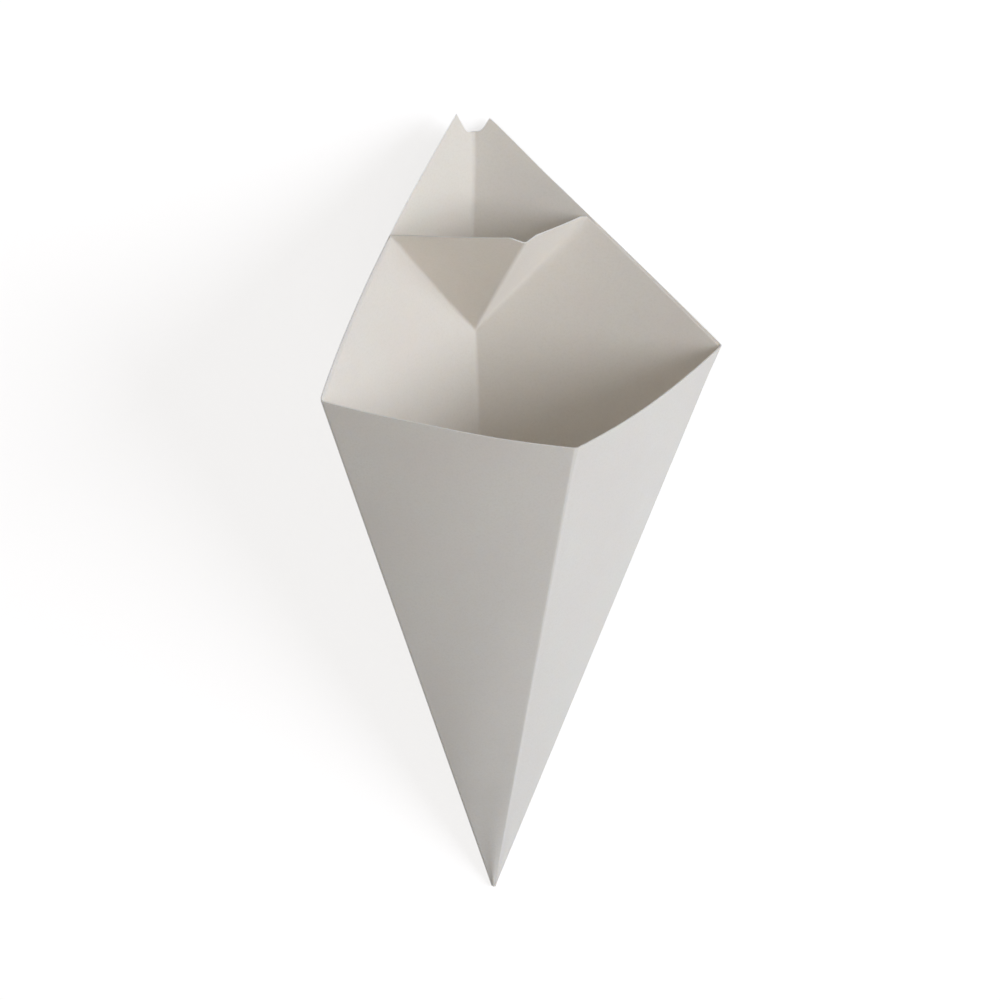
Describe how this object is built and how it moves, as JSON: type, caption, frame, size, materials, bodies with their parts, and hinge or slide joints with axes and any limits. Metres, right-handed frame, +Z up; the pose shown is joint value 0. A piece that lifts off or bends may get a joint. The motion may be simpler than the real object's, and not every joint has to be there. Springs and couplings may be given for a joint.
{
  "type": "paper fry cone",
  "caption": "White card cone for fries, folded from a sheet, with a tall pointed back and a built-in dip pocket, lying on a back panel.",
  "frame": {"origin": "on the floor under the middle of the object's box, as the cone lies on its flat back right panel", "axes": "+Y along the back fold, from the point to the top; +Z up from the panel that it lies on; +X towards the right-hand side fold"},
  "size_m": [0.1132, 0.253, 0.0684],
  "materials": {
    "card": "matt white card, uncoated, with white cut edges"
  },
  "bodies": {
    "root": {"fry_cone": "card"}
  },
  "joints": []
}
